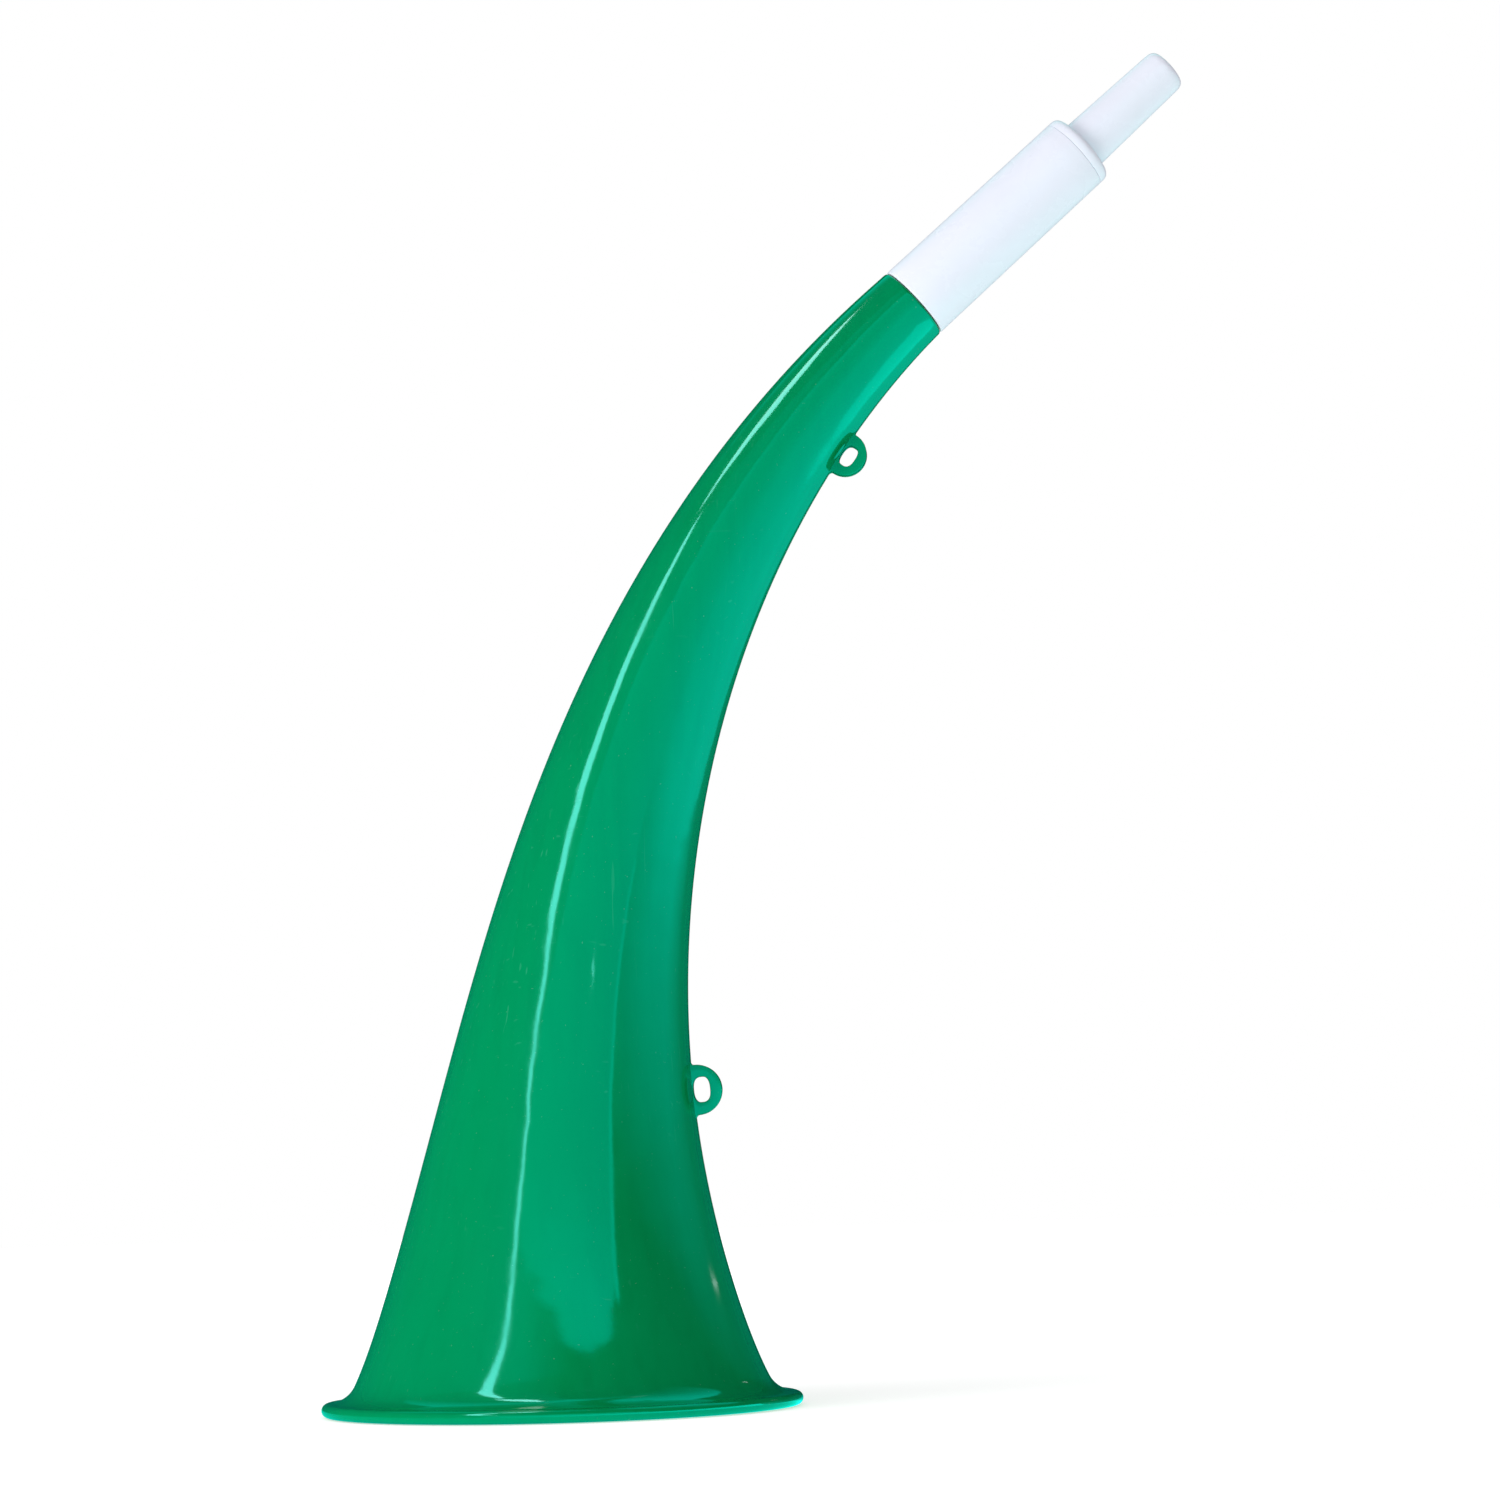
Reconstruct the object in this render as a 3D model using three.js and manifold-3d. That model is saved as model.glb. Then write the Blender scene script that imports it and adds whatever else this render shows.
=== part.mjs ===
// Curved stadium horn that stands on its bell rim: two half shells with cord lugs, and a two-piece
// mouthpiece with a beating reed inside. Millimetres, +Z up, mouth end towards +X, seam in the XZ plane.
import * as THREE from "three";
import { mergeVertices } from "three/addons/utils/BufferGeometryUtils.js";
import Module from "manifold-3d";

const wasm = await Module();
wasm.setup();

// Fits between pieces
const fitClearance = 0.25; // radial, all round a push fit
const seatGap = 0.3; // between faces that meet when a piece is pushed home
const cutOverrun = 2; // how far a cutting shape runs past what it cuts

// Mouthpiece plug, which also sizes the horn's small end
const plugRadius = 7.85;
const plugLength = 15;
const plugWall = 1.7;
const plugLeadIn = 0.8;
const plugLedgeWidth = 1.4;
const plugLedgeHeight = 1.6;

// Horn body
const hornLength = 304; // along the centreline
const endTilt = THREE.MathUtils.degToRad(48.8); // lean of the mouth end from upright
const bendGrowth = 1.55; // how late the bend comes, 1 is an even arc
const hornWall = 1.9;
const socketWall = 2.15;
const socketDepth = 16.5;
const throatRadius = plugRadius + fitClearance + socketWall;
const throatLip = 0.8; // rounding of the small end
const bellRadius = 53.5; // of the plain flare, at the rim
const flareGrowth = 1.16; // how late the flare opens, 1 is exponential
const flareSwell = 0.038; // share by which the flare bows out towards the mouth end and in towards the rim
const bellLift = 2.5; // extra turn-out of the bell at its very end
const bellLiftLength = 7;
const rimWidth = 4; // flange beyond the bell
const rimRadius = bellRadius + bellLift + rimWidth;
const rimThickness = 3.2;
const rimLand = 1.2; // flat of the flange's top face, inside its round edge
const rimRise = 0.9; // slope of the rest of that face, up to the flare
const rimFillet = 4;
const filletTop = rimThickness + rimFillet;
const bellEdgeRound = 0.9; // inner edge of the rim

// Lap joint along the seam: the left shell's tongue lies inside the right shell's lip
const lapHeight = 1.2; // across the seam
const lapClearance = 0.15;
const lapDepthShare = 0.5; // of the wall, outside the tongue

// Cord lugs on the hollow side
const lugStationShares = [0.2697, 0.861]; // of the horn's length, from the rim
const lugSizeShares = [1, 0.88]; // of the sizes below, for each lug
const lugThickness = 3.2;
const lugRadius = 6.3;
const lugReach = 7.3; // beyond the horn's skin
const lugRootHalf = 7.8;
const lugRound = 0.6;
const lugSink = 2 * lugRound + seatGap; // into the wall, past the rounded foot of the hole
const lugHoleWidth = 4.3;
const lugHoleLength = 6.4;
const lugHoleRound = 1.6;
const lugHoleFoot = 0.1; // from the horn's skin to the hole

// Barrel of the mouthpiece
const barrelLength = 56; // shoulder to open top
const barrelTaper = 0.3;
const barrelWall = 1.8;
const barrelEdgeRound = 0.5;
const barrelTopRadius = throatRadius - barrelTaper;
const chamberRadius = barrelTopRadius - barrelWall;
const plugBoreRadius = plugRadius - plugWall;
const chamberFloor = 1.5; // above the shoulder, where the chamber narrows to the plug's bore

// Lip tube
const lipShoulder = 2.7; // thickness of its shoulder
const lipShoulderRound = 1.9;
const lipTubeLength = 30.1; // shoulder to tip
const lipRootRadius = 6.55;
const lipTaper = 0.6;
const lipWall = 1.9;
const lipTipRound = 1.8;
const lipRootFillet = 0.9;
const lipSkirtLength = 8;
const lipSkirtWall = 1.5;
const lipTipRadius = lipRootRadius - lipTaper;
const lipBoreRadius = lipTipRadius - lipWall;
const lipSkirtRadius = chamberRadius - fitClearance;

// Reed unit
const reedBaseLength = 7;
const troughRadius = 4.2;
const troughLength = 21;
const troughFlat = 1.2; // from the trough's axis to its flat
const troughBoreRadius = 2.8;
const troughBoreOffset = 0.4; // the bore lies this far behind the axis
const troughEnd = 1.5; // closed end of the trough
const tongueThickness = 0.3;
const tongueWidth = 6.6;
const tongueOverlap = 2; // clamped length inside the clip
const tongueOverhang = 0.6; // past the end of the trough
const tongueRootGap = 0.12;
const tongueTipGap = 1;
const tongueCurl = 1.3; // how late the tongue curls away, 1 is straight
const clipHeight = 4;
const clipWall = 1.4;
const clipClearance = 0.12;
const reedBaseRadius = plugBoreRadius - fitClearance;

// Facets
const hornSides = 48;
const outerSteps = 22;
const innerSteps = 16;
const stepCrowding = 1.3; // stations crowd towards the rim
const roundSteps = 4;
const rimEdgeSteps = 6;
const tubeSides = 36;
const reedSides = 24;
const tongueSteps = 8;
const centreSlices = 60;

const weldDistance = 1e-4;
const grainVolume = 1e-6; // rounding leaves such grains on a cut

// Colours
const shellGreen = { color: 0x00965f, roughness: 0.16, metalness: 0 };
const mouthWhite = { color: 0xf1f1f8, roughness: 0.3, metalness: 0 };
const reedWhite = { color: 0xe6e6e2, roughness: 0.45, metalness: 0 };
const tongueAmber = { color: 0xd9b46a, roughness: 0.35, metalness: 0 };

// Closed geometry to a solid and back
function solidFrom(geometry) {
  const bare = geometry.clone();
  bare.deleteAttribute("normal");
  bare.deleteAttribute("uv");
  const merged = mergeVertices(bare, weldDistance);
  const vertProperties = merged.attributes.position.array;
  const triVerts = new Uint32Array(merged.index.array);
  return new wasm.Manifold(new wasm.Mesh({ numProp: 3, vertProperties, triVerts }));
}

function geometryFrom(solid) {
  const withoutGrains = solid.decompose().filter((piece) => piece.volume() > grainVolume);
  const mesh = wasm.Manifold.union(withoutGrains).getMesh();
  const geometry = new THREE.BufferGeometry();
  geometry.setAttribute("position", new THREE.BufferAttribute(mesh.vertProperties, 3));
  geometry.setIndex(new THREE.BufferAttribute(mesh.triVerts, 1));
  geometry.computeVertexNormals();
  return geometry;
}

// Points of a quarter round from one point to another, bulging towards a corner
function rounded(from, corner, to, steps) {
  return new THREE.QuadraticBezierCurve(from, corner, to).getPoints(steps);
}

function point(radius, height) {
  return new THREE.Vector2(radius, height);
}

// A path's points without repeats
function spaced(path, divisions) {
  const points = path.getPoints(divisions);
  return points.filter((here, index) => here.distanceTo(points.at(index - 1)) > weldDistance);
}

// A closed outline of radius and height turned about the Z axis
function turned(outline, sides) {
  const geometry = new THREE.LatheGeometry([...outline, outline[0]], sides);
  geometry.rotateX(Math.PI / 2);
  return geometry;
}

// A round bar about the Z axis, from one height to another
function bar(radius, low, high, sides) {
  const geometry = new THREE.CylinderGeometry(radius, radius, high - low, sides);
  geometry.rotateX(Math.PI / 2);
  geometry.translate(0, 0, (high + low) / 2);
  return geometry;
}

// Centreline of the horn
function centreTilt(station) {
  return endTilt * (Math.max(station, 0) / hornLength) ** bendGrowth;
}

function centrePoint(station) {
  const slice = station / centreSlices;
  const place = new THREE.Vector3();
  for (let index = 0; index < centreSlices; index += 1) {
    const tilt = centreTilt((index + 0.5) * slice);
    place.x += Math.sin(tilt) * slice;
    place.z += Math.cos(tilt) * slice;
  }
  return place;
}

// Frame on the centreline: X to the hollow side, Y across the seam, Z along the horn
function centreFrame(station) {
  const frame = new THREE.Matrix4().makeRotationY(centreTilt(station));
  return frame.setPosition(centrePoint(station));
}

// Radius of the horn's outer skin
function skinRadius(station) {
  const shareToRim = 1 - station / hornLength;
  const flare = throatRadius * (bellRadius / throatRadius) ** (shareToRim ** flareGrowth);
  const swell = 1 + flareSwell * Math.sin(2 * Math.PI * shareToRim);
  return flare * swell + bellLift * Math.exp(-station / bellLiftLength);
}

function skinSlope(station) {
  const reach = hornLength / centreSlices;
  const low = Math.max(station - reach, 0);
  const high = Math.min(station + reach, hornLength);
  return (skinRadius(high) - skinRadius(low)) / (high - low);
}

// Radius at a depth inside the skin, measured square to the wall
function depthRadius(station, depth) {
  return skinRadius(station) - depth * Math.hypot(1, skinSlope(station));
}

function boreRadius(station) {
  return depthRadius(station, hornWall);
}

// Stations of the facets between the rim's fillet and the small end's rounding
function skinStations() {
  const low = filletTop;
  const high = hornLength - throatLip;
  const stations = [];
  for (let index = 0; index <= outerSteps; index += 1) {
    stations.push(low + (high - low) * (index / outerSteps) ** stepCrowding);
  }
  return stations;
}

// Outline of the straight horn: underside of the rim, its round edge, the flare, the small end, the bore
function hornOutline() {
  const edgeRadius = rimThickness / 2;
  const outline = [];
  const mouthRadius = boreRadius(0);
  outline.push(point(mouthRadius + bellEdgeRound, 0));
  const edge = new THREE.Path().absarc(
    rimRadius - edgeRadius, edgeRadius, edgeRadius, -Math.PI / 2, Math.PI / 2, false,
  );
  outline.push(...edge.getPoints(rimEdgeSteps));
  const cornerHeight = rimThickness + rimRise;
  const corner = point(skinRadius(cornerHeight), cornerHeight);
  const filletStart = point(rimRadius - edgeRadius - rimLand, rimThickness);
  const filletEnd = point(skinRadius(filletTop), filletTop);
  outline.push(...rounded(filletStart, corner, filletEnd, roundSteps));
  const stations = skinStations();
  const lipStart = stations.at(-1);
  outline.push(...stations.slice(1, -1).map((station) => point(skinRadius(station), station)));
  const lipCorner = point(throatRadius, hornLength);
  const lipEnd = point(throatRadius - throatLip, hornLength);
  outline.push(...rounded(point(skinRadius(lipStart), lipStart), lipCorner, lipEnd, roundSteps));
  outline.push(point(plugBoreRadius, hornLength));
  const socketFloor = hornLength - socketDepth;
  outline.push(point(plugBoreRadius, socketFloor));
  for (let index = innerSteps; index > 0; index -= 1) {
    const share = (index / innerSteps) ** stepCrowding;
    const station = bellEdgeRound + (socketFloor - bellEdgeRound) * share;
    outline.push(point(boreRadius(station), station));
  }
  outline.push(point(boreRadius(bellEdgeRound), bellEdgeRound));
  return outline;
}

// Bends a straight turned shape along the centreline
function bent(geometry) {
  const position = geometry.attributes.position;
  const vertex = new THREE.Vector3();
  for (let index = 0; index < position.count; index += 1) {
    vertex.fromBufferAttribute(position, index);
    const frame = centreFrame(vertex.z);
    vertex.z = 0;
    vertex.applyMatrix4(frame);
    position.setXYZ(index, vertex.x, vertex.y, vertex.z);
  }
  return geometry;
}

// Frame on the skin of the hollow side: X along the skin, Y outwards, Z across the seam
function skinFrame(station) {
  const reach = hornLength / centreSlices;
  const edgeAt = (place) => new THREE.Vector3(skinRadius(place), 0, 0).applyMatrix4(centreFrame(place));
  const along = edgeAt(station + reach).sub(edgeAt(station - reach)).normalize();
  const across = new THREE.Vector3(0, 1, 0);
  const outward = new THREE.Vector3().crossVectors(across, along);
  const frame = new THREE.Matrix4().makeBasis(along, outward, across);
  return frame.setPosition(edgeAt(station));
}

// A cord lug: an eye plate whose root spreads onto the skin
function lug() {
  const centreHeight = lugReach - lugRadius;
  const outline = new THREE.Path();
  outline.moveTo(-lugRootHalf, -lugSink);
  outline.lineTo(-lugRootHalf, 0);
  outline.quadraticCurveTo(-lugRadius, 0, -lugRadius, centreHeight);
  outline.absarc(0, centreHeight, lugRadius, Math.PI, 0, true);
  outline.quadraticCurveTo(lugRadius, 0, lugRootHalf, 0);
  outline.lineTo(lugRootHalf, -lugSink);
  outline.closePath();
  const half = lugHoleLength / 2;
  const top = lugHoleFoot + lugHoleWidth;
  const eye = new THREE.Path();
  eye.moveTo(-half + lugHoleRound, lugHoleFoot);
  eye.lineTo(half - lugHoleRound, lugHoleFoot);
  eye.quadraticCurveTo(half, lugHoleFoot, half, lugHoleFoot + lugHoleRound);
  eye.lineTo(half, top - lugHoleRound);
  eye.quadraticCurveTo(half, top, half - lugHoleRound, top);
  eye.lineTo(-half + lugHoleRound, top);
  eye.quadraticCurveTo(-half, top, -half, top - lugHoleRound);
  eye.lineTo(-half, lugHoleFoot + lugHoleRound);
  eye.quadraticCurveTo(-half, lugHoleFoot, -half + lugHoleRound, lugHoleFoot);
  const plate = new THREE.Shape(spaced(outline, roundSteps));
  plate.holes.push(new THREE.Path(spaced(eye, 2)));
  const flatDepth = lugThickness - 2 * lugRound;
  const geometry = new THREE.ExtrudeGeometry(plate, {
    depth: flatDepth,
    bevelThickness: lugRound,
    bevelSize: lugRound,
    bevelOffset: -lugRound,
    bevelSegments: 2,
  });
  geometry.translate(0, 0, -flatDepth / 2);
  return geometry;
}

// The whole horn body, before it is parted at the seam
function hornBody() {
  let body = solidFrom(bent(turned(hornOutline(), hornSides)));
  for (const [index, share] of lugStationShares.entries()) {
    const plate = lug().scale(lugSizeShares[index], lugSizeShares[index], 1);
    body = body.add(solidFrom(plate.applyMatrix4(skinFrame(hornLength * share))));
  }
  const socket = bar(plugRadius + fitClearance, -socketDepth - cutOverrun, cutOverrun, tubeSides);
  return body.subtract(solidFrom(socket.applyMatrix4(centreFrame(hornLength))));
}

// A slab of space across the seam, from one Y to another
function slab(low, high) {
  const span = 2 * (hornLength + rimRadius);
  const box = new THREE.BoxGeometry(span, high - low, span);
  box.translate(0, (low + high) / 2, 0);
  return solidFrom(box);
}

// What lies deeper than the lap, from the rim's fillet to short of the socket
function lapCore(spare) {
  const depth = hornWall * lapDepthShare - spare;
  const low = filletTop - spare;
  const high = hornLength - socketDepth - 2 * cutOverrun + spare;
  const between = skinStations().filter((station) => station > filletTop && station < high - lapHeight);
  const outline = [low, ...between, high].map((station) => point(depthRadius(station, depth), station));
  return solidFrom(bent(turned([point(0, low), ...outline, point(0, high)], hornSides)));
}

// Left shell: its half of the body, with the lap's tongue reaching over the seam
function leftShell(body) {
  const half = body.intersect(slab(0, hornLength));
  const tongue = body.intersect(lapCore(0)).intersect(slab(-lapHeight, lapHeight));
  return geometryFrom(half.add(tongue));
}

// Right shell: its half of the body, less room for the tongue
function rightShell(body) {
  const half = body.intersect(slab(-hornLength, 0));
  const room = lapCore(lapClearance).intersect(slab(-lapHeight - lapClearance, lapHeight));
  return geometryFrom(half.subtract(room));
}

// Barrel: plug below, shoulder at height zero, chamber open at the top
function mouthpieceBarrel() {
  const bottom = -plugLength;
  const shoulder = seatGap;
  const top = shoulder + barrelLength;
  const ledgeRadius = plugBoreRadius - plugLedgeWidth;
  const outline = [
    point(ledgeRadius, bottom),
    point(plugRadius - plugLeadIn, bottom),
    point(plugRadius, bottom + plugLeadIn),
    point(plugRadius, shoulder),
    ...rounded(
      point(throatRadius - barrelEdgeRound, shoulder),
      point(throatRadius, shoulder),
      point(throatRadius, shoulder + barrelEdgeRound),
      2,
    ),
    ...rounded(
      point(barrelTopRadius, top - barrelEdgeRound),
      point(barrelTopRadius, top),
      point(barrelTopRadius - barrelEdgeRound, top),
      2,
    ),
    point(chamberRadius, top),
    point(chamberRadius, shoulder + chamberFloor + chamberRadius - plugBoreRadius),
    point(plugBoreRadius, shoulder + chamberFloor),
    point(plugBoreRadius, bottom + plugLedgeHeight),
    point(ledgeRadius, bottom + plugLedgeHeight),
  ];
  return turned(outline, tubeSides);
}

// Lip tube: skirt inside the barrel, rounded shoulder, tapered tube with a round tip
function lipTube() {
  const seat = seatGap + barrelLength + seatGap;
  const shoulderTop = seat + lipShoulder;
  const tip = shoulderTop + lipTubeLength;
  const skirtBore = lipSkirtRadius - lipSkirtWall;
  const outline = [
    point(skirtBore, seat - lipSkirtLength),
    point(lipSkirtRadius, seat - lipSkirtLength),
    point(lipSkirtRadius, seat),
    point(barrelTopRadius, seat),
    ...rounded(
      point(barrelTopRadius, shoulderTop - lipShoulderRound),
      point(barrelTopRadius, shoulderTop),
      point(barrelTopRadius - lipShoulderRound, shoulderTop),
      roundSteps,
    ),
    ...rounded(
      point(lipRootRadius + lipRootFillet, shoulderTop),
      point(lipRootRadius, shoulderTop),
      point(lipRootRadius, shoulderTop + lipRootFillet),
      2,
    ),
    ...rounded(
      point(lipTipRadius, tip - lipTipRound),
      point(lipTipRadius, tip),
      point(lipTipRadius - lipTipRound, tip),
      roundSteps,
    ),
    point(lipBoreRadius, tip),
    point(lipBoreRadius, seat),
    point(skirtBore, seat - (skirtBore - lipBoreRadius)),
  ];
  return turned(outline, tubeSides);
}

// Heights in the reed unit
const reedBaseLow = -plugLength + plugLedgeHeight + seatGap;
const reedBaseTop = reedBaseLow + reedBaseLength;
const clipLow = reedBaseTop + seatGap;
const clipTop = clipLow + clipHeight;
const troughTop = reedBaseTop + troughLength;

// Reed holder: a plug that carries a half-round trough with its flat towards -Y
function reedHolder() {
  const base = solidFrom(bar(reedBaseRadius, reedBaseLow, reedBaseTop, reedSides));
  const trough = solidFrom(bar(troughRadius, reedBaseLow, troughTop, reedSides));
  const span = 2 * troughRadius;
  const front = new THREE.BoxGeometry(span + cutOverrun, span, troughLength + cutOverrun);
  front.translate(0, -troughFlat - span / 2, reedBaseTop + (troughLength + cutOverrun) / 2);
  const bore = bar(troughBoreRadius, reedBaseLow - cutOverrun, troughTop - troughEnd, reedSides);
  bore.translate(0, troughBoreOffset, 0);
  return geometryFrom(base.add(trough).subtract(solidFrom(front)).subtract(solidFrom(bore)));
}

// A round outline cut off by a flat towards -Y
function flattedRound(path, radius, flat) {
  const turn = Math.asin(flat / radius);
  path.absarc(0, 0, radius, -turn, Math.PI + turn, false);
  path.closePath();
  return path;
}

// Clip: a ring round the trough and the tongue's root
function reedClip() {
  const outline = new THREE.Shape();
  outline.absarc(0, 0, troughRadius + clipWall, 0, 2 * Math.PI, false);
  const flat = troughFlat + tongueRootGap + tongueThickness + clipClearance;
  outline.holes.push(flattedRound(new THREE.Path(), troughRadius + clipClearance, flat));
  const geometry = new THREE.ExtrudeGeometry(outline, {
    depth: clipHeight,
    bevelEnabled: false,
    curveSegments: reedSides / 2,
  });
  geometry.translate(0, 0, clipLow);
  return geometry;
}

// Tongue: a thin strip that curls away from the flat towards its free end
function reedTongue() {
  const low = clipTop - tongueOverlap;
  const high = troughTop + tongueOverhang;
  const gapAt = (height) => {
    const share = Math.max(height - clipTop, 0) / (high - clipTop);
    return tongueRootGap + (tongueTipGap - tongueRootGap) * share ** tongueCurl;
  };
  const outline = new THREE.Shape();
  outline.moveTo(low, gapAt(low));
  for (let index = 0; index <= tongueSteps; index += 1) {
    const height = clipTop + ((high - clipTop) * index) / tongueSteps;
    outline.lineTo(height, gapAt(height));
  }
  for (let index = tongueSteps; index >= 0; index -= 1) {
    const height = clipTop + ((high - clipTop) * index) / tongueSteps;
    outline.lineTo(height, gapAt(height) + tongueThickness);
  }
  outline.lineTo(low, gapAt(low) + tongueThickness);
  outline.closePath();
  const geometry = new THREE.ExtrudeGeometry(outline, { depth: tongueWidth, bevelEnabled: false });
  geometry.translate(0, troughFlat, -tongueWidth / 2);
  const along = new THREE.Vector3(0, 0, 1);
  const outward = new THREE.Vector3(0, -1, 0);
  const across = new THREE.Vector3(1, 0, 0);
  return geometry.applyMatrix4(new THREE.Matrix4().makeBasis(along, outward, across));
}

function mesh(name, geometry, finish) {
  const made = new THREE.Mesh(geometry, new THREE.MeshStandardMaterial(finish));
  made.name = name;
  return made;
}

// Horn
const horn = new THREE.Group();
const body = hornBody();
horn.add(mesh("horn_shell_left", leftShell(body), shellGreen));
horn.add(mesh("horn_shell_right", rightShell(body), shellGreen));

// Mouthpiece, built upright about its own axis and leaned onto the horn's end
const mouthpiece = new THREE.Group();
mouthpiece.add(mesh("mouthpiece_barrel", mouthpieceBarrel(), mouthWhite));
mouthpiece.add(mesh("lip_tube", lipTube(), mouthWhite));
const reedUnit = new THREE.Group();
reedUnit.add(mesh("reed_holder", reedHolder(), reedWhite));
reedUnit.add(mesh("reed_clip", reedClip(), reedWhite));
reedUnit.add(mesh("reed_tongue", reedTongue(), tongueAmber));
reedUnit.rotation.z = Math.PI / 2;
mouthpiece.add(reedUnit);
mouthpiece.position.copy(centrePoint(hornLength));
mouthpiece.rotation.y = endTilt;

// The whole stands on its rim, with the middle of its box over the origin
const stadiumHorn = new THREE.Group();
stadiumHorn.add(horn, mouthpiece);
stadiumHorn.updateMatrixWorld(true);
const extent = new THREE.Box3().setFromObject(stadiumHorn, true);
stadiumHorn.position.x = -(extent.min.x + extent.max.x) / 2;
stadiumHorn.updateMatrixWorld(true);

export default stadiumHorn;
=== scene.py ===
"""Looks of a curved stadium horn: glossy green shells with cord lugs, and a white two-piece mouthpiece."""

import math

import bmesh
import bpy
from mathutils import Matrix, Vector


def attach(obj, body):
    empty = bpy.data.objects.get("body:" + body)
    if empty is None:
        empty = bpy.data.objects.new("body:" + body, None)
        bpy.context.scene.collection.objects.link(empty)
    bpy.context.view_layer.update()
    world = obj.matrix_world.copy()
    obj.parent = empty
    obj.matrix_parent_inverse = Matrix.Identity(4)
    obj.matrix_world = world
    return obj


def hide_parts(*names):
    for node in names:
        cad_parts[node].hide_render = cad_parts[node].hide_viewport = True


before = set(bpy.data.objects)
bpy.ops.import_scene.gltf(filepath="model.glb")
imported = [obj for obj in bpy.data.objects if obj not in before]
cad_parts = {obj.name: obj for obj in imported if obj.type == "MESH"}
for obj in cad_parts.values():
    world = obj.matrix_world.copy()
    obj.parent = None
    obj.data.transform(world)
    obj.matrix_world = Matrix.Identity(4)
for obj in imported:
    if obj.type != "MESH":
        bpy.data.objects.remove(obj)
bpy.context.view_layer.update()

# The horn, in millimetres as in the part
MM = 0.001
HORN_LENGTH = 304.0
END_TILT = math.radians(48.8)
BEND_GROWTH = 1.55
HORN_WALL = 1.9
THROAT_RADIUS = 10.25
THROAT_LIP = 0.8
BELL_RADIUS = 53.5
BELL_EDGE = 0.9
BELL_LIFT = 2.5
BELL_LIFT_LENGTH = 7.0
FLARE_GROWTH = 1.16
FLARE_SWELL = 0.038
RIM_RADIUS = 60.0
RIM_THICKNESS = 3.2
RIM_LAND = 1.2
RIM_RISE = 0.9
RIM_FILLET = 4.0
RIM_CENTRE_X = -53.3364
SOCKET_RADIUS = 8.1
SOCKET_DEPTH = 16.5
SOCKET_LEAD = 0.3
SOCKET_CORNER = 0.1
SEAM_ROUND = 0.1

# The cord lugs, each with its place along the horn and its size as shares
LUGS = ((0.2697, 1.0), (0.861, 0.88))
LUG_THICKNESS = 3.2
LUG_RADIUS = 6.3
LUG_REACH = 7.3
LUG_ROOT_HALF = 7.8
LUG_SINK = 1.5
LUG_ROUND = 1.25
EYE_WIDTH = 4.3
EYE_LENGTH = 6.4
EYE_FOOT = 0.1
EYE_POWER = 2.6

# The mouthpiece, along its own axis from the horn's small end
PLUG_END = -15.0
PLUG_RADIUS = 7.85
PLUG_ROUND = 0.8
PLUG_FACE_RADIUS = 6.8
PLUG_BORE = 4.75
PLUG_FLOOR = 1.6
SHOULDER = 0.3
SHOULDER_STEP = 0.2
SHOULDER_UNDERSIDE = 0.15
SHOULDER_EDGE = 0.5
SHOULDER_ROUND = 0.4
BARREL_ROOT = 10.25
BARREL_TOP = 9.95
BARREL_HIGH = SHOULDER + 56.0
BARREL_STRAIGHT = 0.25
CHAMBER_RADIUS = 8.15
CHAMBER_LEAD = 0.2
CHAMBER_LOW = 3.8
HOLDER_RADIUS = 6.15
HOLDER_HIGH = 1.8
LIP_SEAT = BARREL_HIGH + 0.3
LIP_FOOT = LIP_SEAT - 0.24
LIP_SHOULDER = LIP_SEAT + 2.7
LIP_SHOULDER_ROUND = 1.9
LIP_TIP = LIP_SHOULDER + 30.1
LIP_ROOT_RADIUS = 6.55
LIP_FILLET = 0.9
LIP_END_RADIUS = 5.95
LIP_END_ROUND = 2.7
LIP_MOUTH_RADIUS = 4.3
LIP_MOUTH_LEAD = 0.15
LIP_BORE = 4.05
LIP_CONE = 2.35
SPIGOT_LENGTH = 8.0
SPIGOT_RADIUS = 7.9
SPIGOT_LEAD = 0.4
SPIGOT_BORE = 6.4
JOINT_ROUND = 0.1

# Fineness of the meshes
SLICES = 60
SLOPE_REACH = 4.0
HORN_AROUND = 144
MOUTH_AROUND = 112
SKIN_STEPS = 110
BORE_STEPS = 70
CROWDING = 1.35
RIM_STEPS = 12
THROAT_STEPS = 6
EDGE_STEPS = 4
ROOT_STEPS = 8
LUG_STEPS = 28
LUG_ROUND_STEPS = 6
EYE_STEPS = 40
SEAM_STEPS = 2
BARREL_STEPS = 12
LIP_STEPS = 10
SHOULDER_STEPS = 5
FILLET_STEPS = 6
JOINT_STEPS = 3
CORNER_ANGLE = 1.2
SHARP_ANGLE = math.radians(35.0)
SAME_PLACE = 1e-4
SEAM_SNAP = 1e-3
STATION_DIGITS = 5

# The camera stands where the photograph was taken from
FOCAL_PIXELS = 3686.1
IMAGE_PIXELS = 1500.0
SENSOR_WIDTH = 36.0
CLIP_START = 0.01
CAMERA_PLACE = (121.7 + RIM_CENTRE_X, -926.2, 50.4)
CAMERA_YAW = math.radians(4.363)
CAMERA_PITCH = math.radians(6.975)
CAMERA_ROLL = math.radians(1.509)


# Shape of the horn
def tilt_at(station):
    return END_TILT * (max(station, 0.0) / HORN_LENGTH) ** BEND_GROWTH


def centre_at(station):
    step = station / SLICES
    x = 0.0
    z = 0.0
    for index in range(SLICES):
        tilt = tilt_at((index + 0.5) * step)
        x += math.sin(tilt) * step
        z += math.cos(tilt) * step
    return Vector((x + RIM_CENTRE_X, 0.0, z))


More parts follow.
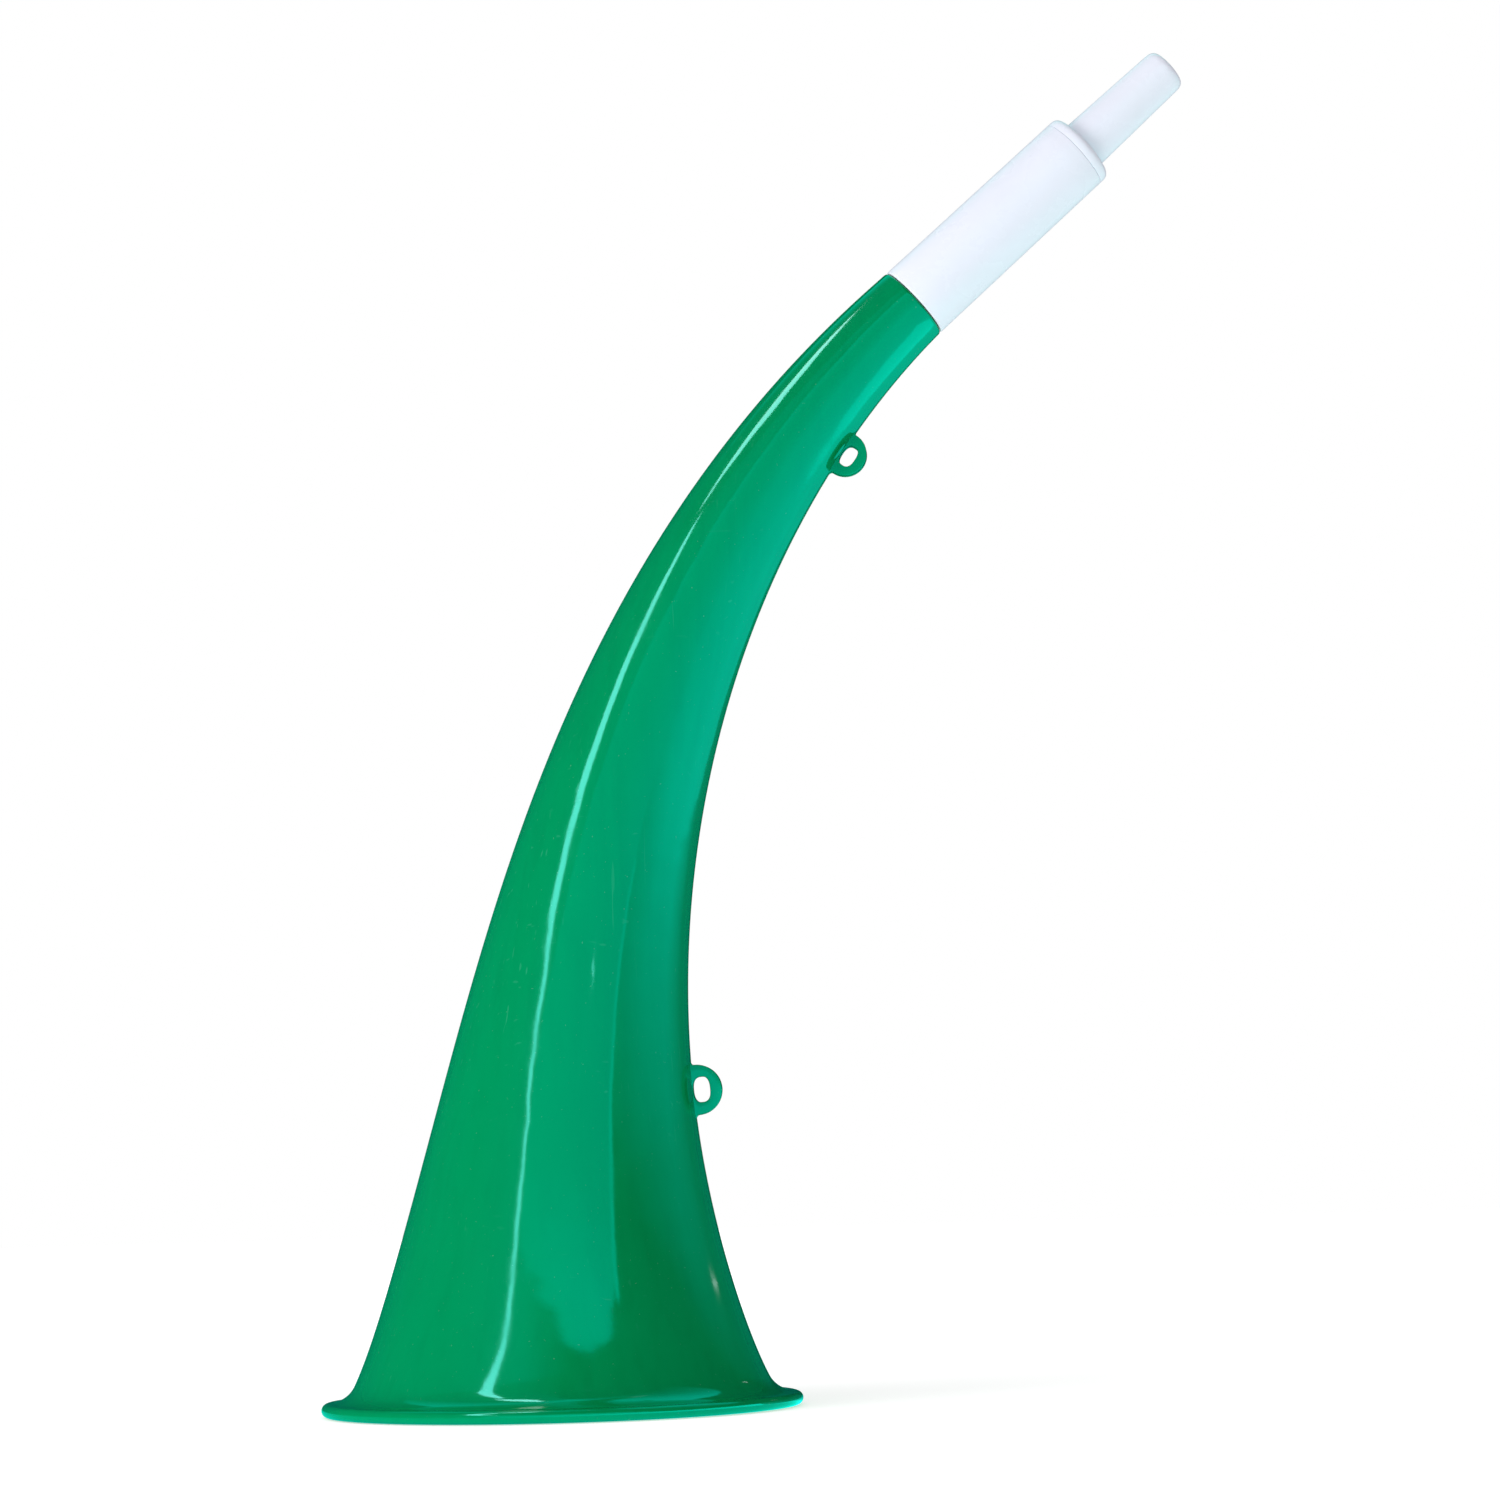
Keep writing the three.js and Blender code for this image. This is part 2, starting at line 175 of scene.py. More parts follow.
def frame_at(station):
    """X to the hollow side, Y across the seam, Z along the horn."""
    return Matrix.Translation(centre_at(station)) @ Matrix.Rotation(tilt_at(station), 4, "Y")


def skin_radius(station):
    share = max(1.0 - station / HORN_LENGTH, 0.0)
    flare = THROAT_RADIUS * (BELL_RADIUS / THROAT_RADIUS) ** (share**FLARE_GROWTH)
    swell = 1.0 + FLARE_SWELL * math.sin(2 * math.pi * share)
    return flare * swell + BELL_LIFT * math.exp(-station / BELL_LIFT_LENGTH)


def bore_radius(station):
    """The skin's radius less the wall, which is measured square to the skin."""
    low = max(station - SLOPE_REACH, 0.0)
    high = min(station + SLOPE_REACH, HORN_LENGTH)
    slope = (skin_radius(high) - skin_radius(low)) / (high - low)
    return skin_radius(station) - HORN_WALL * math.hypot(1.0, slope)


def curve_points(start, corner, end, steps):
    """A quarter round from start to end that bulges towards corner."""
    points = []
    for index in range(steps + 1):
        t = index / steps
        points.append(
            tuple((1 - t) ** 2 * a + 2 * t * (1 - t) * b + t * t * c for a, b, c in zip(start, corner, end))
        )
    return points


def arc_points(centre, radius, start, end, steps):
    points = []
    for index in range(steps + 1):
        angle = start + (end - start) * index / steps
        points.append((centre[0] + radius * math.cos(angle), centre[1] + radius * math.sin(angle)))
    return points


def horn_outline():
    """Closed outline of radius and station: rim, skin, small end, socket, bore."""
    edge = RIM_THICKNESS / 2
    underside = (bore_radius(0.0) + BELL_EDGE, 0.0)
    outline = [underside]
    outline += arc_points((RIM_RADIUS - edge, edge), edge, -math.pi / 2, math.pi / 2, RIM_STEPS)
    fillet_top = RIM_THICKNESS + RIM_FILLET
    outline += curve_points(
        (RIM_RADIUS - edge - RIM_LAND, RIM_THICKNESS),
        (skin_radius(RIM_THICKNESS + RIM_RISE), RIM_THICKNESS + RIM_RISE),
        (skin_radius(fillet_top), fillet_top),
        RIM_STEPS,
    )
    lip_start = HORN_LENGTH - THROAT_LIP
    for index in range(1, SKIN_STEPS):
        station = fillet_top + (lip_start - fillet_top) * (index / SKIN_STEPS) ** CROWDING
        outline.append((skin_radius(station), station))
    outline += curve_points(
        (skin_radius(lip_start), lip_start),
        (THROAT_RADIUS, HORN_LENGTH),
        (THROAT_RADIUS - THROAT_LIP, HORN_LENGTH),
        THROAT_STEPS,
    )
    socket_floor = HORN_LENGTH - SOCKET_DEPTH
    outline += [
        (SOCKET_RADIUS + SOCKET_LEAD, HORN_LENGTH),
        (SOCKET_RADIUS, HORN_LENGTH - SOCKET_LEAD),
        (SOCKET_RADIUS, socket_floor + SOCKET_CORNER),
        (SOCKET_RADIUS + SOCKET_CORNER, socket_floor),
    ]
    for index in range(BORE_STEPS, 0, -1):
        station = BELL_EDGE + (socket_floor - BELL_EDGE) * (index / BORE_STEPS) ** CROWDING
        outline.append((bore_radius(station), station))
    bell_edge = curve_points(
        (bore_radius(BELL_EDGE), BELL_EDGE), (bore_radius(0.0), 0.0), underside, EDGE_STEPS
    )
    return outline + bell_edge[:-1]


# Mesh helpers
def spun(outline, steps):
    """A closed outline of radius and height spun about the Z axis."""
    mesh = bmesh.new()
    points = [mesh.verts.new((radius, 0.0, height)) for radius, height in outline]
    edges = [mesh.edges.new((points[i - 1], points[i])) for i in range(len(points))]
    bmesh.ops.spin(
        mesh,
        geom=points + edges,
        cent=(0, 0, 0),
        axis=(0, 0, 1),
        angle=2 * math.pi,
        steps=steps,
        use_merge=True,
        use_duplicate=False,
    )
    bmesh.ops.remove_doubles(mesh, verts=mesh.verts, dist=SAME_PLACE)
    bmesh.ops.recalc_face_normals(mesh, faces=mesh.faces)
    return mesh


def rounded(mesh, edges, offset, steps):
    bmesh.ops.bevel(
        mesh,
        geom=edges,
        offset=offset,
        offset_type="OFFSET",
        segments=steps,
        profile=0.5,
        affect="EDGES",
        clamp_overlap=True,
        material=-1,
    )


def joined(*parts):
    """Several meshes in one, each as its own closed shell."""
    whole = bmesh.new()
    for part in parts:
        data = bpy.data.meshes.new("part")
        part.to_mesh(data)
        part.free()
        whole.from_mesh(data)
        bpy.data.meshes.remove(data)
    return whole


def placed_object(mesh, name, material):
    """Turns a mesh into an object of the scene."""
    data = bpy.data.meshes.new(name)
    mesh.to_mesh(data)
    mesh.free()
    data.materials.append(material)
    item = bpy.data.objects.new(name, data)
    bpy.context.scene.collection.objects.link(item)
    return item


def finished(mesh, name, material, body, replaced):
    """Scales a piece to metres, smooths it and hands it to the frame."""
    bmesh.ops.scale(mesh, vec=(MM, MM, MM), verts=mesh.verts)
    for face in mesh.faces:
        face.smooth = True
    for edge in mesh.edges:
        edge.smooth = len(edge.link_faces) == 2 and edge.calc_face_angle(0.0) < SHARP_ANGLE
    piece = placed_object(mesh, name, material)
    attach(piece, body)
    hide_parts(*replaced)


# Horn shells and lugs
def bent_horn():
    mesh = spun(horn_outline(), HORN_AROUND)
    known = {}
    for vert in mesh.verts:
        station = round(vert.co.z, STATION_DIGITS)
        if station not in known:
            known[station] = frame_at(station)
        vert.co = known[station] @ Vector((vert.co.x, vert.co.y, 0.0))
        if abs(vert.co.y) < SEAM_SNAP:
            vert.co.y = 0.0
    return mesh


def half_horn(side):
    """One half of the horn, closed in the seam's plane, with a fine round along the seam."""
    mesh = bent_horn()
    bmesh.ops.bisect_plane(
        mesh,
        geom=mesh.verts[:] + mesh.edges[:] + mesh.faces[:],
        dist=SAME_PLACE,
        plane_co=(0, 0, 0),
        plane_no=(0, -side, 0),
        clear_outer=True,
    )
    open_edges = [edge for edge in mesh.edges if edge.is_boundary]
    bmesh.ops.edgeloop_fill(mesh, edges=open_edges)
    bmesh.ops.recalc_face_normals(mesh, faces=mesh.faces)
    rounded(mesh, open_edges, SEAM_ROUND, SEAM_STEPS)
    return mesh


def lug_outline():
    top = LUG_REACH - LUG_RADIUS
    points = curve_points((-LUG_ROOT_HALF, 0.0), (-LUG_RADIUS, 0.0), (-LUG_RADIUS, top), ROOT_STEPS)
    points += arc_points((0.0, top), LUG_RADIUS, math.pi, 0.0, LUG_STEPS)[1:]
    points += curve_points((LUG_RADIUS, top), (LUG_RADIUS, 0.0), (LUG_ROOT_HALF, 0.0), ROOT_STEPS)[1:]
    return points + [(LUG_ROOT_HALF, -LUG_SINK), (-LUG_ROOT_HALF, -LUG_SINK)]


def eye_outline():
    """The eye of a lug, an oval with full corners."""
    middle = EYE_FOOT + EYE_WIDTH / 2
    points = []
    for index in range(EYE_STEPS):
        angle = 2 * math.pi * index / EYE_STEPS
        cosine = math.cos(angle)
        sine = math.sin(angle)
        x = EYE_LENGTH / 2 * math.copysign(abs(cosine) ** (2 / EYE_POWER), cosine)
        y = EYE_WIDTH / 2 * math.copysign(abs(sine) ** (2 / EYE_POWER), sine)
        points.append((x, middle + y))
    return points


def half_lug(share, size, side):
    """One half of a lug, set on the hollow side of the horn."""
    mesh = bmesh.new()
    loops = []
    for outline in (lug_outline(), eye_outline()):
        verts = [mesh.verts.new((x * size, y * size, 0.0)) for x, y in outline]
        loops += [mesh.edges.new((verts[i - 1], verts[i])) for i in range(len(verts))]
    ring = bmesh.ops.bridge_loops(mesh, edges=loops)["faces"]
    raised = bmesh.ops.extrude_face_region(mesh, geom=ring, use_keep_orig=True)
    lifted = [item for item in raised["geom"] if isinstance(item, bmesh.types.BMVert)]
    bmesh.ops.translate(mesh, verts=lifted, vec=(0, 0, LUG_THICKNESS / 2))
    bmesh.ops.recalc_face_normals(mesh, faces=mesh.faces)
    middle = LUG_THICKNESS / 4
    corners = [edge for edge in mesh.edges if edge.calc_face_angle(0.0) > CORNER_ANGLE]
    face_side = [edge for edge in corners if min(vert.co.z for vert in edge.verts) > middle]
    seam_side = [edge for edge in corners if max(vert.co.z for vert in edge.verts) < middle]
    rounded(mesh, face_side, LUG_ROUND, LUG_ROUND_STEPS)
    rounded(mesh, [edge for edge in seam_side if edge.is_valid], SEAM_ROUND, SEAM_STEPS)
    station = HORN_LENGTH * share
    reach = HORN_LENGTH / SLICES
    below, above = (
        frame_at(place) @ Vector((skin_radius(place), 0, 0)) for place in (station - reach, station + reach)
    )
    along = (above - below).normalized()
    outward = Vector((0, 1, 0)).cross(along)
    turn = Matrix((along, outward, Vector((0, side, 0)))).transposed().to_4x4()
    place = Matrix.Translation(frame_at(station) @ Vector((skin_radius(station), 0, 0)))
    bmesh.ops.transform(mesh, matrix=place @ turn, verts=mesh.verts)
    bmesh.ops.recalc_face_normals(mesh, faces=mesh.faces)
    return mesh


# Mouthpiece
def onto_mouth(outline):
    """A spun outline, moved from its own axis onto the horn's small end."""
    mesh = spun(outline, MOUTH_AROUND)
    bmesh.ops.transform(mesh, matrix=frame_at(HORN_LENGTH), verts=mesh.verts)
    return mesh


def taper_points(start, end, steps):
    """The points between two ends of a straight taper."""
    return [
        tuple(first + (last - first) * index / steps for first, last in zip(start, end))
        for index in range(1, steps)
    ]


def barrel_outline():
    outline = [(PLUG_BORE, PLUG_END), (PLUG_FACE_RADIUS, PLUG_END)]
    outline += curve_points(
        (PLUG_RADIUS - PLUG_ROUND, PLUG_END),
        (PLUG_RADIUS, PLUG_END),
        (PLUG_RADIUS, PLUG_END + PLUG_ROUND),
        EDGE_STEPS,
    )
    outline += [(PLUG_RADIUS, 0.0), (PLUG_RADIUS + SHOULDER_STEP, SHOULDER_STEP)]
    underside = SHOULDER - SHOULDER_UNDERSIDE
    taper_start = (BARREL_ROOT, SHOULDER + SHOULDER_ROUND)
    outline += curve_points(
        (BARREL_ROOT - SHOULDER_EDGE, underside), (BARREL_ROOT, underside), taper_start, SHOULDER_STEPS
    )
    outline += taper_points(taper_start, (BARREL_TOP, BARREL_HIGH - BARREL_STRAIGHT), BARREL_STEPS)
    outline += curve_points(
        (BARREL_TOP, BARREL_HIGH - JOINT_ROUND),
        (BARREL_TOP, BARREL_HIGH),
        (BARREL_TOP - JOINT_ROUND, BARREL_HIGH),
        JOINT_STEPS,
    )
    plug_floor = PLUG_END + PLUG_FLOOR
    return outline + [
        (CHAMBER_RADIUS + CHAMBER_LEAD, BARREL_HIGH),
        (CHAMBER_RADIUS, BARREL_HIGH - CHAMBER_LEAD),
        (CHAMBER_RADIUS, CHAMBER_LOW),
        (HOLDER_RADIUS, HOLDER_HIGH),
        (HOLDER_RADIUS, plug_floor),
        (PLUG_BORE, plug_floor),
    ]


def lip_outline():
    spigot_end = LIP_SEAT - SPIGOT_LENGTH
    outline = [
        (SPIGOT_BORE, spigot_end),
        (SPIGOT_RADIUS - SPIGOT_LEAD, spigot_end),
        (SPIGOT_RADIUS, spigot_end + SPIGOT_LEAD),
        (SPIGOT_RADIUS, LIP_FOOT),
    ]
    outline += curve_points(
        (BARREL_TOP - JOINT_ROUND, LIP_FOOT),
        (BARREL_TOP, LIP_FOOT),
        (BARREL_TOP, LIP_FOOT + JOINT_ROUND),
        JOINT_STEPS,
    )
    outline += curve_points(
        (BARREL_TOP, LIP_SHOULDER - LIP_SHOULDER_ROUND),
        (BARREL_TOP, LIP_SHOULDER),
        (BARREL_TOP - LIP_SHOULDER_ROUND, LIP_SHOULDER),
        LIP_STEPS,
    )
    taper_start = (LIP_ROOT_RADIUS, LIP_SHOULDER + LIP_FILLET)
    taper_end = (LIP_END_RADIUS, LIP_TIP - LIP_END_ROUND)
    outline += curve_points(
        (LIP_ROOT_RADIUS + LIP_FILLET, LIP_SHOULDER),
        (LIP_ROOT_RADIUS, LIP_SHOULDER),
        taper_start,
        FILLET_STEPS,
    )
    outline += taper_points(taper_start, taper_end, LIP_STEPS)
    outline += curve_points(taper_end, (LIP_END_RADIUS, LIP_TIP), (LIP_MOUTH_RADIUS, LIP_TIP), LIP_STEPS)
    return outline + [
        (LIP_BORE + LIP_MOUTH_LEAD, LIP_TIP),
        (LIP_BORE, LIP_TIP - LIP_MOUTH_LEAD),
        (LIP_BORE, LIP_SEAT),
        (SPIGOT_BORE, LIP_SEAT - LIP_CONE),
    ]


# Nodes for the materials
MIX_SHARE = 0
MIX_FIRST = 6
MIX_SECOND = 7
MIX_RESULT = 2


def group_of(name, inputs, outputs):
    tree = bpy.data.node_groups.new(name, "ShaderNodeTree")
    for label, kind, value in inputs:
        socket = tree.interface.new_socket(name=label, in_out="INPUT", socket_type=kind)
        if value is not None:
            socket.default_value = value
    for label in outputs:
        tree.interface.new_socket(name=label, in_out="OUTPUT", socket_type="NodeSocketFloat")
    entry = tree.nodes.new("NodeGroupInput")
    leave = tree.nodes.new("NodeGroupOutput")
    return tree, entry, leave


def noise_node(tree, place, scale, detail, roughness=0.5):
    node = tree.nodes.new("ShaderNodeTexNoise")
    node.inputs["Scale"].default_value = scale
    node.inputs["Detail"].default_value = detail
    node.inputs["Roughness"].default_value = roughness
    tree.links.new(place, node.inputs["Vector"])
    return node.outputs["Fac"]


def range_node(tree, value, low, high, to_low=0.0, to_high=1.0):
    node = tree.nodes.new("ShaderNodeMapRange")
    for label, number in (("From Min", low), ("From Max", high), ("To Min", to_low), ("To Max", to_high)):
        node.inputs[label].default_value = number
    tree.links.new(value, node.inputs["Value"])
    return node.outputs["Result"]


def math_node(tree, kind, first, second):
    node = tree.nodes.new("ShaderNodeMath")
    node.operation = kind
    for index, value in enumerate((first, second)):
        if isinstance(value, float):
            node.inputs[index].default_value = value
        else:
            tree.links.new(value, node.inputs[index])
    return node.outputs["Value"]


def mix_colour(tree, share, first, second):
    node = tree.nodes.new("ShaderNodeMix")
    node.data_type = "RGBA"
    tree.links.new(share, node.inputs[MIX_SHARE])
    for value, index in ((first, MIX_FIRST), (second, MIX_SECOND)):
        if isinstance(value, tuple):
            node.inputs[index].default_value = value
        else:
            tree.links.new(value, node.inputs[index])
    return node.outputs[MIX_RESULT]


def stretched(tree, place, scale, turn=(0.0, 0.0, 0.0)):
    node = tree.nodes.new("ShaderNodeMapping")
    node.inputs["Rotation"].default_value = turn
    node.inputs["Scale"].default_value = scale
    tree.links.new(place, node.inputs["Vector"])
    return node.outputs["Vector"]


# Shared effects, with noise scales per metre
WAVE_SCALE = 34.0
PEEL_SCALE = 900.0
TONE_SCALE = 11.0
SCRATCH_SETS = (((900.0, 900.0, 14.0), (0.5, 0.3, 0.65)), ((14.0, 800.0, 700.0), (-0.7, -0.42, -0.91)))
SCRATCH_RANGE = (0.7, 0.78)
PATCH_SCALE = 24.0
PATCH_RANGE = (0.5, 0.7)
RUB_SCALE = 60.0
RUB_RANGE = (0.48, 0.8)
DUST_SCALE = 1500.0
DUST_RANGE = (0.74, 0.8)
TONE_RANGE = (0.3, 0.7)
FLOW_STRETCH = (260.0, 260.0, 8.0)
FLOW_RANGE = (0.45, 0.75)
FACING_RANGE = (0.4, 0.9)


def moulding_group():
    """Moulded plastic: slow waves of the skin, fine orange peel, and drifting tone."""
    tree, entry, leave = group_of(
        "moulding",
        (
            ("Place", "NodeSocketVector", None),
            ("Waves", "NodeSocketFloat", 1.0),
            ("Peel", "NodeSocketFloat", 1.0),
        ),
        ("Height", "Tone"),
    )
    place = entry.outputs["Place"]
    waves = math_node(tree, "MULTIPLY", noise_node(tree, place, WAVE_SCALE, 2.0), entry.outputs["Waves"])
    peel = math_node(tree, "MULTIPLY", noise_node(tree, place, PEEL_SCALE, 2.0), entry.outputs["Peel"])
    tree.links.new(math_node(tree, "ADD", waves, peel), leave.inputs["Height"])
    tree.links.new(noise_node(tree, place, TONE_SCALE, 3.0), leave.inputs["Tone"])
    return tree


def scuff_group():
    """Handling marks: long faint scratches, rubbed patches and specks of dust."""
    tree, entry, leave = group_of(
        "scuffs", (("Place", "NodeSocketVector", None),), ("Scratches", "Rub", "Dust")
    )
    place = entry.outputs["Place"]
    lines = [
        range_node(tree, noise_node(tree, stretched(tree, place, scale, turn), 1.0, 1.0), *SCRATCH_RANGE)
        for scale, turn in SCRATCH_SETS
    ]
    patch = range_node(tree, noise_node(tree, place, PATCH_SCALE, 3.0), *PATCH_RANGE)
    scratches = math_node(tree, "MULTIPLY", math_node(tree, "MAXIMUM", *lines), patch)
    rub = range_node(tree, noise_node(tree, place, RUB_SCALE, 5.0, 0.65), *RUB_RANGE)
    dust = range_node(tree, noise_node(tree, place, DUST_SCALE, 1.0), *DUST_RANGE)
    for label, value in (("Scratches", scratches), ("Rub", rub), ("Dust", dust)):
        tree.links.new(value, leave.inputs[label])
    return tree


moulding = moulding_group()
scuffs = scuff_group()

# The plastics: colours, strengths of their marks, roughness from smooth to rubbed, and bump
GREEN_DEEP = (0.0, 0.206, 0.054, 1.0)
GREEN_LIGHT = (0.0, 0.222, 0.062, 1.0)
GREEN_FLOW = (0.0, 0.186, 0.048, 1.0)
GREEN_SCRATCH = (0.06, 0.36, 0.22, 1.0)
GREEN_DUST = (0.30, 0.45, 0.38, 1.0)
GREEN_SHINE = (0.12, 1.0, 0.97, 1.0)
GREEN_FLOWING = 0.5
GREEN_SCRATCHED = 0.2
GREEN_DUSTY = 0.12
GREEN_ROUGHNESS = (0.08, 0.15)
SCRATCH_ROUGHNESS = 0.12
GREEN_BUMP = (0.5, 0.0006)
WHITE_DEEP = (0.825, 0.84, 0.955, 1.0)
WHITE_LIGHT = (0.845, 0.86, 0.965, 1.0)
WHITE_GRIME = (0.62, 0.60, 0.62, 1.0)
WHITE_GRIMY = 0.12
WHITE_ROUGHNESS = (0.26, 0.4)
WHITE_BUMP = (0.35, 0.0004)
REED_WHITE = ((0.76, 0.76, 0.70, 1.0), (0.70, 0.69, 0.62, 1.0))
REED_AMBER = ((0.62, 0.38, 0.10, 1.0), (0.52, 0.29, 0.07, 1.0))
REED_SCRATCH = (0.9, 0.88, 0.82, 1.0)
REED_SCRATCHED = 0.3
REED_RUBBED = 0.15
REED_BUMP = (0.4, 0.0003)


class Plastic:
    """A material with its moulded skin and handling marks, ready for colours."""

    def __init__(self, name, waves, peel):
        self.material = bpy.data.materials.new(name)
        self.material.use_nodes = True
        self.tree = self.material.node_tree
        self.shader = self.tree.nodes["Principled BSDF"]
        self.place = self.tree.nodes.new("ShaderNodeTexCoord").outputs["Object"]
        self.skin = self.group(moulding)
        self.skin.inputs["Waves"].default_value = waves
        self.skin.inputs["Peel"].default_value = peel
        self.marks = self.group(scuffs)

    def group(self, shared):
        node = self.tree.nodes.new("ShaderNodeGroup")
        node.node_tree = shared
        self.tree.links.new(self.place, node.inputs["Place"])
        return node

    def tone_of(self, first, second):
        tone = range_node(self.tree, self.skin.outputs["Tone"], *TONE_RANGE)
        return mix_colour(self.tree, tone, first, second)

    def marked(self, colour, label, strength, mark):
        """The colour with one kind of mark laid over it."""
        share = math_node(self.tree, "MULTIPLY", self.marks.outputs[label], strength)
        return mix_colour(self.tree, share, colour, mark)

    def rubbed(self, smooth, rough):
        """Roughness that grows in the rubbed patches."""
        return range_node(self.tree, self.marks.outputs["Rub"], 0.0, 1.0, smooth, rough)

    def shine_by_angle(self, straight, grazing):
        """The shine is kept low along the outline, where the room's edge would whiten it."""
        facing = self.tree.nodes.new("ShaderNodeLayerWeight")
        facing.inputs["Blend"].default_value = 0.5
        level = range_node(self.tree, facing.outputs["Facing"], *FACING_RANGE, straight, grazing)
        self.tree.links.new(level, self.shader.inputs["Specular IOR Level"])

    def finish(self, colour, roughness, strength, distance):
        """Links colour, roughness and the skin's bump to the shader."""
        self.tree.links.new(colour, self.shader.inputs["Base Color"])
        self.tree.links.new(roughness, self.shader.inputs["Roughness"])
        bump = self.tree.nodes.new("ShaderNodeBump")
        bump.inputs["Strength"].default_value = strength
        bump.inputs["Distance"].default_value = distance
        self.tree.links.new(self.skin.outputs["Height"], bump.inputs["Height"])
        self.tree.links.new(bump.outputs["Normal"], self.shader.inputs["Normal"])
        return self.material


def green_plastic():
    plastic = Plastic("green_plastic", waves=1.0, peel=0.012)
    tree = plastic.tree
    plastic.shader.inputs["Specular Tint"].default_value = GREEN_SHINE
    plastic.shine_by_angle(0.9, 0.12)
    flow = noise_node(tree, stretched(tree, plastic.place, FLOW_STRETCH), 1.0, 2.0)
    flow = range_node(tree, flow, *FLOW_RANGE, 0.0, GREEN_FLOWING)
    colour = mix_colour(tree, flow, plastic.tone_of(GREEN_DEEP, GREEN_LIGHT), GREEN_FLOW)
    colour = plastic.marked(colour, "Scratches", GREEN_SCRATCHED, GREEN_SCRATCH)
    colour = plastic.marked(colour, "Dust", GREEN_DUSTY, GREEN_DUST)
    scratched = math_node(tree, "MULTIPLY", plastic.marks.outputs["Scratches"], SCRATCH_ROUGHNESS)
    roughness = math_node(tree, "ADD", plastic.rubbed(*GREEN_ROUGHNESS), scratched)
    return plastic.finish(colour, roughness, *GREEN_BUMP)


def white_plastic():
    plastic = Plastic("white_plastic", waves=0.25, peel=0.03)
    plastic.shine_by_angle(0.25, 0.03)
    colour = plastic.marked(plastic.tone_of(WHITE_DEEP, WHITE_LIGHT), "Rub", WHITE_GRIMY, WHITE_GRIME)
    return plastic.finish(colour, plastic.rubbed(*WHITE_ROUGHNESS), *WHITE_BUMP)


def satin_plastic(name, tones, roughness):
    plastic = Plastic(name, waves=0.5, peel=0.12)
    colour = plastic.marked(plastic.tone_of(*tones), "Scratches", REED_SCRATCHED, REED_SCRATCH)
    return plastic.finish(colour, plastic.rubbed(roughness, roughness + REED_RUBBED), *REED_BUMP)


# The pieces
green = green_plastic()
white = white_plastic()
reed_white = satin_plastic("reed_white", REED_WHITE, 0.4)
reed_amber = satin_plastic("reed_amber", REED_AMBER, 0.3)

for side, label in ((1, "left"), (-1, "right")):
    shell = joined(half_horn(side), *[half_lug(share, size, side) for share, size in LUGS])
    finished(shell, "shell_" + label, green, "horn", ["horn_shell_" + label])
barrel = onto_mouth(barrel_outline())
finished(barrel, "barrel", white, "mouthpiece", ["mouthpiece_barrel"])
lip_tube = onto_mouth(lip_outline())
finished(lip_tube, "lip_tube_white", white, "lip_tube", ["lip_tube"])
for node, material in (("reed_holder", reed_white), ("reed_clip", reed_white), ("reed_tongue", reed_amber)):
    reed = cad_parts[node]
    reed.data.materials.clear()
    reed.data.materials.append(material)

# Studio, in metres, with bearings in degrees from the camera's side
SEEN_KINDS = ("Is Camera Ray", "Is Glossy Ray", "Is Transmission Ray")
SKY_LEVEL = 0.55
ROOM_HEIGHT = 2.8
ROOM_REACH = 3.0
SHEET_REACH = ROOM_REACH + 0.1
WINDOW_REACH = 2.7
STRIP_REACH = 2.65
STRIP_LOW = 0.42
LOW_WALL_REACH = 2.8
RIM_STRIP_REACH = 0.32
TABLE_HEIGHT = -0.0001
FLOOR_HEIGHT = -0.0002
FLOOR_RADIUS = 6.0
FLOOR_FADE = (0.25, 1.1)
FLOOR_NEAR = (0.85, 0.85, 0.85, 1.0)
FLOOR_FAR = (0.5, 0.5, 0.5, 1.0)
FLOOR_NEAR_GLOW = 0.5
FLOOR_STEPS = 96
WALL_STEPS = 72
COOL = (0.01, 1.0, 0.84)
TUBE_COLOUR = (1.0, 0.85, 0.85)
TUBE_GLOW = 9.0
STRIP_GLOW = 2.4

# Lamps: name, place, target, side of the square and radiance
LAMPS = (
    ("key_soft", (-1.9, -1.6, 1.6), (-0.02, 0.0, 0.16), 2.0, 1.6),
    ("low_left", (-0.6, -0.5, 0.12), (-0.08, -0.03, 0.05), 0.4, 6.0),
    ("table_bounce", (0.0, 0.0, 0.0003), (0.0, 0.0, 1.0), 2.4, 0.6),
)

# Glows: pairs of bearing and strength, and pairs of height and strength
WINDOW_STOPS = ((-26, 1.4), (46, 1.5))
WINDOW_HEIGHTS = ((0.0, 1.5), (0.35, 1.2), (0.8, 1.0), (1.3, 1.0), (1.7, 1.35))
RIM_STOPS = ((-35, 1.6), (10, 3.2), (75, 4.6), (112, 4.6))
LOW_STOPS = ((45, 1.6), (80, 1.9), (110, 1.5), (140, 0.35), (172, 0.15))
LOW_HEIGHTS = ((0.0, 1.5), (0.3, 1.0), (1.15, 0.08))
WALL_STOPS = (
    (-172, 0.1),
    (-150, 0.2),
    (-130, 0.35),
    (-100, 0.5),
    (-70, 0.6),
    (-45, 0.75),
    (-20, 0.95),
    (-8, 0.6),
    (12, 0.1),
    (172, 0.06),
)
CEILING_STOPS = (
    (-180, 1.7),
    (-150, 1.4),
    (-115, 0.4),
    (-50, 0.5),
    (-20, 0.5),
    (8, 0.12),
    (80, 0.12),
    (120, 0.7),
    (150, 1.5),
    (180, 1.7),
)
TABLE_STOPS = (
    (-172, 0.4),
    (-110, 0.8),
    (-60, 1.3),
    (-20, 2.0),
    (40, 2.3),
    (80, 2.9),
    (120, 2.5),
    (172, 0.6),
)

